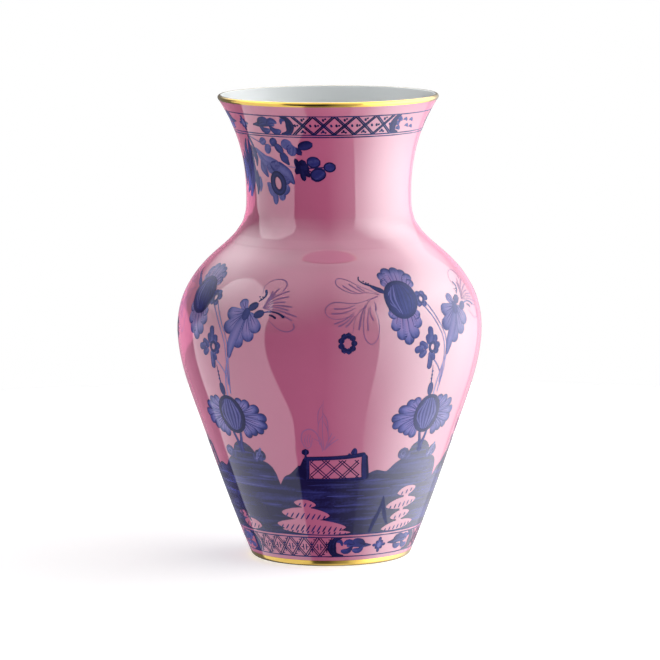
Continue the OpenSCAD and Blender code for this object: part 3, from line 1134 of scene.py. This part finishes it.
def paintRingFlower(brush):
    brush.spot(*bellyFacts["ringFlower"])
    for turn in range(0, 360, 40):
        c, s = turnParts(turn)
        brush.oval(c * 4.2, s * 5, 4.1, 4.3, wash=0.9, edge=0.1, layer=4)
    brush.ring(0, 0, 8, 9.6, 2, wash=0.98, layer=5)


fenceFacts = {"pitch": 10.4, "gap": 2.2, "line": 0.65}     # the crossing pairs of lines in it


# Crossing pairs of lines between two heights, cut off at the ends
def paintLattice(brush, left, right, low, high):
    tall = high - low
    x = left - tall
    while x < right:
        for start in (x, x + fenceFacts["gap"]):
            for foot, top in ((start, start + tall), (start + tall, start)):
                a, c = (max(left, min(right, value)) for value in (foot, top))
                if abs(c - a) > 0.6:
                    line = [(a, low + abs(a - foot)), (c, low + abs(c - foot))]
                    brush.stroke(line, fenceFacts["line"], 0.97, layer=2, blunt=False)
        x += fenceFacts["pitch"]


def paintFence(brush):
    brush.spot(0, 60)
    brush.stroke(brush.along((-16.5, 62), (-13, 69), (-11.6, 74.6)), (3.5, 4.4, 3), 0.95, edge=0.05)
    brush.stroke(brush.along((-12.2, 60), (-11.2, 74.6)), (5, 4.2), 0.95, edge=0.05, layer=4)
    brush.stroke(brush.along((-12.4, 74.3), (0, 74.9), (9, 75.7), (16.4, 77.2)), (3, 2.8, 3), 0.95,
                 edge=0.05, layer=4)
    brush.stroke(brush.along((16, 77), (16.4, 70), (17.4, 60)), (4, 4.8, 5.2), 0.93, edge=0.05,
                 layer=4)
    brush.stroke(brush.along((-12.4, 60), (2, 60), (17, 60.5)), 2.4, 0.96)
    (left, base), (right, base) = brush.along((-10, 61), (14.2, 61))
    paintLattice(brush, left, right, base, base + 13)
    brush.oval(*brush.on(-11.4, 78.8), 5, 5, wash=0.97, edge=0, layer=4)
    brush.stroke(brush.along((-11.4, 75.5), (-11.4, 77)), 1.6, 0.95)
    brush.stroke(brush.along((10.6, 76.5), (11, 79), (11.2, 81.4)), (5, 4, 2.2), 0.88, edge=0.1)
    brush.stroke(brush.along((8.6, 76), (8.9, 78)), 2, 0.85)


def paintMounds(brush):
    crest = [(-26, 56), (-24.6, 59), (-22.8, 62), (-20, 63.6), (-17.2, 67), (-14.6, 70),
             (-13.2, 66), (-12.6, 60.6), (0, 60.6), (15, 60.6), (16.4, 63), (19, 64), (22.5, 65.8),
             (26, 65), (28.4, 64.6), (32, 69), (35.6, 72), (38.2, 75), (40, 79.4), (43, 82.6),
             (47, 83), (50.6, 80.4), (53.4, 75.6), (55.4, 72), (59, 70), (61.6, 66.6), (63, 62),
             (64, 56)]
    brush.field(bellyFacts["moundFoot"], crest, 0.96)
    brush.spot(45, 60)
    streaks = ((44, 79.5, 4), (45, 75.6, 6), (44.5, 71.6, 8), (46, 67.6, 12), (42, 63, 15),
               (50, 58.6, 12), (36, 57.6, 10), (46, 54, 14), (24, 58.6, 7), (0, 56, 12),
               (20, 53, 12), (-10, 52, 8), (8, 49, 10), (-18, 57, 5), (57, 61, 5), (56, 49, 8),
               (24, 47, 10), (14, 42, 12), (56, 42, 7), (24, 37, 9), (60, 34, 6), (18, 33, 8),
               (24, 29, 9), (59, 27, 7))
    for angle, z, reach in streaks:
        sag = brush.random.uniform(-0.8, 0.8)
        line = brush.along((angle - reach, z), (angle, z + sag), (angle + reach, z + sag / 2))
        wash = brush.random.uniform(0.76, 0.88)
        brush.stroke(line, (0.4, 1.3, 1.8, 1.2, 0.4), wash, edge=0.05, layer=2)
    for angle, z in ((36, 75.5), (55.6, 75)):
        side = 1 if angle < 45 else -1
        brush.oval(*brush.on(angle, z), 8.4, 8.4, layer=2)
        brush.ring(*brush.on(angle, z), 3.2, 3.2, 0.8, wash=0.66)
        line = ((angle + side * 2, z - 4.4), (angle + side * 3.4, z - 2.4),
                (angle + side * 4, z + 1))
        brush.stroke(brush.along(*line), (2.6, 2), 0.8, layer=2)
    brush.stroke(brush.along((54, 73), (56.5, 80)), (1.2, 2.4, 1.4), 0.6, layer=2)
    brush.stroke(brush.along((53, 72), (54.6, 77)), (1.2, 2, 1.2), 0.6, layer=2)


def paintPine(brush):
    brush.spot(29.4, 35)
    brush.stroke(brush.along((29.2, 47.5), (28.4, 39), (25.6, 30), (23.6, 23)), (0.8, 2.2, 3, 2),
                 0.99, layer=4)
    brush.stroke(brush.along((29.2, 47.5), (30.6, 39), (33.4, 31), (35.4, 27.6)),
                 (0.8, 2.6, 3, 1.4), 0.99, layer=4)


# Left end, widest place, right end, height and thickness of each tier of rock
rockTiers = (
    (-20, -13, -8, 43.6, 5.6), (-28.4, -14, -0.6, 36.4, 9.6), (-33, -12, 9, 28.2, 10.4),
    (-30, -6, 12, 24.6, 4.6),
    (38, 45, 50.5, 49.6, 6.4), (32, 42, 53.6, 41.2, 7.8), (36.6, 44, 51, 33.2, 6.2),
    (31.8, 42, 57, 26, 6.6),
    (-63, -55, -46, 26.4, 7.6), (-66, -62, -55, 32, 5),
)


# The rocks are left pink in the mounds, with a hatching of short strokes under each tier.
def paintRocks(rocks, hatches):
    rocks.spot(0, 35)
    hatches.spot(0, 35)
    for left, middle, right, z, tall in rockTiers:
        lean = 1.6 if left > 20 else -0.8       # the right stack slants up, the others down
        ends = rocks.along((left, z - lean), (middle, z), (right, z + lean))
        rocks.stroke(ends, lambda t: tall * math.sin(math.pi * min(max(t, 0), 1))**0.62, layer=4,
                     blunt=False)
        count = max(3, round((right - left) / 3.2))
        for i in range(1, count):
            t = i / count
            angle = left + (right - left) * t
            level = z + lean * (2 * t - 1) - tall * 0.14
            x, y = hatches.on(angle, level)
            long = tall * 0.24 * math.sin(math.pi * t)**0.5
            hatches.stroke([(x - long * 0.5, y - long), (x + long * 0.6, y + long)],
                           (0.7, 1.1, 0.5), layer=5)
    for angle, low, high, wide in ((-14, 31, 35, 7), (-13.4, 39, 43, 6), (44.6, 44, 48, 4),
                                   (43.6, 36, 38, 3), (43.6, 28.6, 31, 4)):
        rocks.stroke(rocks.along((angle, low), (angle, high)), wide, layer=4, blunt=False)


flowers, stems, petalLines, mounds = Brush(1), Brush(2), Brush(3), Brush(4)
fence, rocks, hatches, pine = Brush(5), Brush(6), Brush(7), Brush(8)
paintBigCarnation(flowers)
paintSprig(flowers)
paintTrumpet(flowers)
paintLowCarnation(flowers)
paintRingFlower(flowers)
paintStems(stems)
paintPetalLines(petalLines)
paintFeather(petalLines)
paintMounds(mounds)
paintFence(fence)
paintPine(pine)
paintRocks(rocks, hatches)
quarters, halves = bellyFacts["quarters"], bellyFacts["rockHalves"]
layPaint("flowerPaint", flowers, fineBlue, "blue_enamel", quarters)
layPaint("stemPaint", stems, fineBlue, "blue_enamel", quarters)
layPaint("petalLinePaint", petalLines, violetLine, "blue_enamel", quarters)
layPaint("moundPaint", mounds, broadBlue, "blue_enamel", quarters)
layPaint("fencePaint", fence, fineBlue, "blue_enamel", quarters)
layPaint("pinePaint", pine, fineBlue, "blue_enamel", quarters)
layPaint("rockReserve", rocks, ground, "pink_ground", halves)
layPaint("rockHatchPaint", hatches, fineBlue, "blue_enamel", halves)
print("belly painted")


ringFacts = {
    "neck": (277, 278.4), "neckTop": 290.6,       # heights
    "foot": (20.4, 22.2), "footBottom": 7.1,
    "width": 0.75,
    "clearance": 0.3,             # between a ring and what the border holds
}


# A quarter of a painted ring, a little unsteady, that overlaps the next quarter.
def paintRings(brush, heights):
    for z in heights:
        brush.spot(0, z)
        line = [brush.on(angle, z + brush.random.uniform(-0.05, 0.05)) for angle in range(0, 85, 6)]
        ends = brush.on(0, z), brush.on(90.4, z)
        widths = [ringFacts["width"] * brush.random.uniform(0.8, 1.2) for _ in range(16)]
        brush.stroke([ends[0]] + line[1:] + [ends[1]], widths, layer=5, blunt=False)


# A cell of the border: crossing pairs of lines, with little brush marks or frets between them.
def paintCell(brush, tall, wide, frets):
    for x in (-wide / 2, wide / 2):
        for shift in (-0.75, 0.75):
            line = [(-x + shift, 0), (x + shift, tall)]
            brush.stroke(line, 0.65 if frets else 0.95, 0.98, layer=4, blunt=False)
    if frets:
        marks = ((0.5, 0.2, 0.5, 0.36), (0.36, 0.36, 0.64, 0.36), (0.5, 0.8, 0.5, 0.64),
                 (0.36, 0.64, 0.64, 0.64), (0.08, 0.34, 0.08, 0.66), (0.08, 0.5, 0.24, 0.5),
                 (0.92, 0.34, 0.92, 0.66), (0.76, 0.5, 0.92, 0.5), (0.2, 0.1, 0.36, 0.1),
                 (0.64, 0.9, 0.8, 0.9))
        width = 0.65
    else:
        marks = ((0.5, 0.1, 0.44, 0.26), (0.6, 0.06, 0.56, 0.16), (0.4, 0.08, 0.37, 0.16),
                 (0.5, 0.74, 0.45, 0.9), (0.6, 0.84, 0.57, 0.94), (0.12, 0.42, 0.06, 0.58),
                 (0.9, 0.42, 0.85, 0.58), (0.24, 0.46, 0.2, 0.56))
        width = 1.5
    for x0, y0, x1, y1 in marks:
        brush.stroke([((x0 - 0.5) * wide, y0 * tall), ((x1 - 0.5) * wide, y1 * tall)], width, 0.95,
                     layer=5, blunt=not frets)


# The end of a border's panel: a thick C with a curl, open towards the given side.
def paintCurl(brush, angle, low, high, side, size):
    brush.spot(angle, low)
    tall = arcAt(high) - arcAt(low)
    bow = ((1.5, 0.98), (0.5, 0.9), (0, 0.5), (0.4, 0.1), (1.7, 0.03))
    curl = ((0.4, 0.86), (1.3, 0.8), (1.5, 0.55))
    bow, curl = ([(side * size * x, tall * y) for x, y in line] for line in (bow, curl))
    brush.stroke(bow, (0.8, 3.6, 6, 4, 0.8), 0.95, edge=0.05, layer=4)
    brush.stroke(curl, (3, 2.8, 1), 0.75)


# A leaf scroll that runs to a point.
def paintScroll(brush, angle, z, side, size):
    brush.spot(angle, z)
    parts = (((0, 0), (5, 0.4), (11, 1.2), (16, 0.2)), ((4, 0.2), (7, 3), (11, 3.6), (13, 1.4)),
             ((5, -0.2), (8, -3.4), (12, -2.6)), ((11, 1), (15, 3.2), (18, 1.6)),
             ((12, 0), (15, -3.6), (19, -2.8)))
    for number, part in enumerate(parts):
        line = [(side * x * size, y * size) for x, y in part]
        wash = (1, 0.85, 0.66) if number < 2 else (0.85, 0.66)
        brush.stroke(line, (0.8, 3.6 * size, 4 * size, 2), wash, edge=0.1, layer=3 + number % 2)


def paintCross(brush, angle, z, size):
    brush.spot(angle, z)
    for turn, reach in ((90, 5.6), (270, 5.6), (0, 5), (180, 5), (50, 3.8), (130, 3.8), (230, 3.8),
                        (310, 3.8)):
        c, s = turnParts(turn)
        tip = (c * reach * size, s * reach * size)
        brush.stroke([(0, 0), tip], (1.4, 2.4, 2), (0.55, 0.9), edge=0.1,
                     layer=3 if turn in (0, 180) else 4)
    brush.oval(0, 0, 4.6 * size, 4.6 * size, wash=0.5, edge=0.3, layer=5)


clearance = ringFacts["clearance"]
neckLow, neckHigh = ringFacts["neck"][1] + clearance, ringFacts["neckTop"] - clearance
footLow, footHigh = ringFacts["footBottom"] + clearance, ringFacts["foot"][0] - clearance


def paintNeckPanel(brush):
    middle = (neckLow + neckHigh) / 2
    paintCurl(brush, -22.6, neckLow, neckHigh, -1, 4)
    paintScroll(brush, -49, middle - 0.4, 1, 1.15)
    paintCross(brush, -58, middle, 1)
    paintScroll(brush, -67, middle + 0.4, -1, 1.15)
    paintCurl(brush, -98, neckLow, neckHigh, 1, 4)
    paintCurl(brush, 40.4, neckLow, neckHigh, 1, 3.4)
    brush.spot(45, neckLow)
    for x, y, wide in ((-4, 6, 5), (-2, 9, 4), (-2, 2.6, 4.4), (3, 8.6, 3), (6, 4, 3), (9, 8, 3.4),
                       (11, 3, 3)):
        brush.stroke([(x, y), (x + 2, y + 1), (x + 4, y - 1)], (1, wide * 0.8, 0.8), 0.7, edge=0.1)


def paintFootPanel(brush):
    middle = (footLow + footHigh) / 2
    paintCurl(brush, 0.6, footLow, footHigh, 1, 4.4)
    paintScroll(brush, 27, middle + 0.4, -1, 1.05)
    paintCross(brush, 33, middle, 1)
    paintScroll(brush, 39.6, middle + 0.6, 1, 1.05)
    paintCurl(brush, 64, footLow, footHigh, -1, 4.4)


# The spray hangs from the neck's border; its leaves are start, middle, end, widths and wash.
def paintSpray(brush):
    brush.spot(-58, 277)
    thinLeaves = (((-58.6, 276.6), (-56, 270), (-53.6, 265), (2, 1.6, 1), 0.95),
                  ((-58.4, 270), (-55.4, 262), (-56, 256.4), (0.8, 3.6, 0.8), 0.97),
                  ((-60, 274), (-61.6, 266), (-64, 258), (0.8, 3.6, 1), 0.9),
                  ((-65, 264), (-62, 254), (-60, 246), (1, 4.2, 1), 0.88),
                  ((-57, 254), (-56.6, 246), (-57.6, 238), (0.8, 3.8, 0.8), 0.97),
                  ((-62, 256), (-64, 247), (-68, 236), (1, 5, 2), 0.72),
                  ((-70, 258), (-70, 247), (-74, 238), (1, 4.4, 1.6), 0.8),
                  ((-54, 250), (-53.4, 244), (-54.6, 240), (1, 2.4, 0.8), 0.6),
                  ((-63, 274), (-68, 266), (-70, 259), (0.8, 3, 0.8), 0.92),
                  ((-78, 262), (-76, 252), (-78, 243), (0.8, 3.6, 1), 0.85))
    darkLeaves = (((-60, 272), (-61, 258), (-58.6, 243), 5.4),
                  ((-66, 270), (-66.6, 256), (-64, 240), 6),
                  ((-73, 266), (-72.6, 253), (-70, 239), 6.4),
                  ((-81, 262), (-79, 252), (-76, 242), 7))
    broadLeaves = (((-54, 268.6), (-46, 261), (-34, 258), (1, 5, 6.4, 4.4), 0.6),
                   ((-42, 259), (-31, 254), (-23.6, 246.4), (4, 7.4, 6.4, 1), 0.68),
                   ((-31.6, 267), (-29.6, 262.6), (-26.6, 258.6), (3.4, 4.8, 0.8), 0.85),
                   ((-50, 262), (-49, 256), (-45, 250), (1, 5, 1), 0.62),
                   ((-45, 258), (-42, 255), (-39, 252), (3, 4.4, 1), 0.58))
    for start, middle, end, widths, wash in thinLeaves:
        brush.stroke(brush.along(start, middle, end), [wide * 1.35 for wide in widths],
                     (wash, wash - 0.08, wash), edge=0.1)
    for start, middle, end, wide in darkLeaves:
        brush.stroke(brush.along(start, middle, end), (1, wide, wide * 0.9, 0.8), (1, 0.9, 1),
                     edge=0.12, layer=2)
    for start, middle, end, widths, wash in broadLeaves:
        brush.stroke(brush.along(start, middle, end), [wide * 1.3 for wide in widths],
                     (wash, wash - 0.1, wash + 0.06), edge=0.12, layer=2)
    brush.stroke(brush.along((-57, 276), (-48, 272.6), (-40, 270.6), (-30, 271), (-20, 270)),
                 (0.8, 0.6), 0.7, layer=2)
    paintBuds(brush)
    paintSprayFlower(brush)
    paintBerries(brush)


def paintBuds(brush):
    buds = ((-45, 273.4, -60, 3.8, 5.6, 0.62), (-42, 268.6, -30, 4, 6.4, 0.6),
            (-36.4, 273.4, -50, 4, 5.8, 0.8), (-33, 269.2, 35, 4.4, 6.6, 0.78),
            (-27, 272, -60, 5.6, 7, 0.6), (-24, 268.4, -20, 5.4, 7, 0.62),
            (-14.6, 271.6, -72, 4.6, 9.4, 0.86), (-19.4, 267.6, 30, 3.6, 5, 0.85))
    for angle, z, turn, wide, tall, wash in buds:
        x, y = brush.on(angle, z)
        brush.oval(x, y, wide * 1.3, tall * 1.2, turn=turn, wash=wash, edge=0.16)


def paintSprayFlower(brush):
    x, y = brush.on(-36.6, 246.6)
    brush.ring(x, y, 8.4, 12, 4, turn=10, layer=4, edge=0.2)
    petals = ((5.4, -4, 5, 7, -40, 0.58), (6.4, 2, 4.6, 6.6, -70, 0.6), (2.6, -8, 4.4, 6, 10, 0.55),
              (-2.6, -9.6, 3.8, 8, 5, 0.62), (-6, -5, 4, 8, 30, 0.5), (-7.6, -1.6, 3, 4.6, 60, 0.5))
    for px, py, wide, tall, turn, wash in petals:
        brush.oval(x + px, y + py, wide * 1.2, tall * 1.1, turn=turn, wash=wash, edge=0.16, layer=2)


def paintBerries(brush):
    x, y = brush.on(-17.4, 256.8)
    brush.stroke(brush.along((-28, 257.6), (-20, 257.2)), (0.4, 0.5), 0.6, layer=2)
    leaves = ((0, 0, 7, 8, 0), (-3.2, 2.6, 3, 7, 10), (-3.6, -1.6, 3.2, 5, -30),
              (-0.4, -5, 3, 6, 10), (2.6, -3.4, 3, 5, 30), (0.6, 3.6, 4, 4, 0))
    for px, py, wide, tall, turn in leaves:
        brush.oval(x + px, y + py, wide * 1.25, tall * 1.15, turn=turn, wash=1, edge=0,
                   layer=5 if px > 0 else 4)
    berries = ((-9.8, 260.8, -78, 7.6, 9.6), (-7, 252.8, -56, 8.4, 11.4),
               (0.8, 257.6, -72, 6.6, 8.4))
    for angle, z, turn, wide, tall in berries:
        px, py = brush.on(angle, z)
        brush.oval(px, py, wide, tall, turn=turn, wash=0.72, edge=0.22)
        brush.ring(px, py, tall * 0.86, wide * 0.86, 0.9, wash=0.93, turn=15, layer=4)
        brush.stroke([(x + 1, y), ((x + px) / 2, (y + py) / 2), (px - 1, py)], (1, 0.8, 0.8),
                     layer=2)


# Rows of lattice between the panels: where a row starts, its span in degrees, its cells, and
# how often each border repeats round the vase
latticeFacts = {"neckStart": -20.6, "neckSpan": 60, "neckCells": 5,
                "footStart": -55, "footSpan": 57, "footCells": 6,
                "neckSectors": 2, "footSectors": 3, "ringSectors": 4}


def paintLatticeRow(brush, place, low, high):
    cells = latticeFacts[place + "Cells"]
    pitch = latticeFacts[place + "Span"] / cells
    brush.spot(latticeFacts[place + "Start"] + pitch / 2, low)
    wide = math.radians(pitch) * outsideAt(low)[0]
    paintCell(brush, arcAt(high) - arcAt(low), wide, place == "foot")
    return cells, pitch


neckRings, footRings, neckLines, footLines = Brush(11), Brush(17), Brush(12), Brush(13)
neckPanel, footPanel, spray = Brush(14), Brush(15), Brush(16)
paintRings(neckRings, [*ringFacts["neck"], ringFacts["neckTop"]])
paintRings(footRings, [*ringFacts["foot"], ringFacts["footBottom"]])
inNeck, inFoot, inRing = (latticeFacts[key + "Sectors"] for key in ("neck", "foot", "ring"))
layPaint("neckRings", neckRings, fineBlue, "blue_enamel", inRing, replaced="neck_border_rings")
layPaint("footRings", footRings, fineBlue, "blue_enamel", inRing, replaced="foot_border_rings")
neckRow = paintLatticeRow(neckLines, "neck", neckLow, neckHigh)
footRow = paintLatticeRow(footLines, "foot", footLow, footHigh)
layPaint("neckLattice", neckLines, fineBlue, "blue_enamel", inNeck, *neckRow)
layPaint("footLattice", footLines, fineBlue, "blue_enamel", inFoot, *footRow)
paintNeckPanel(neckPanel)
paintFootPanel(footPanel)
paintSpray(spray)
layPaint("neckPanelPaint", neckPanel, fineBlue, "blue_enamel", inNeck)
layPaint("footPanelPaint", footPanel, fineBlue, "blue_enamel", inFoot)
layPaint("neckSprayPaint", spray, fineBlue, "blue_enamel", inNeck)
print("borders and spray painted")

bpy.data.objects.remove(outlineGuide)       # it was only there to be read
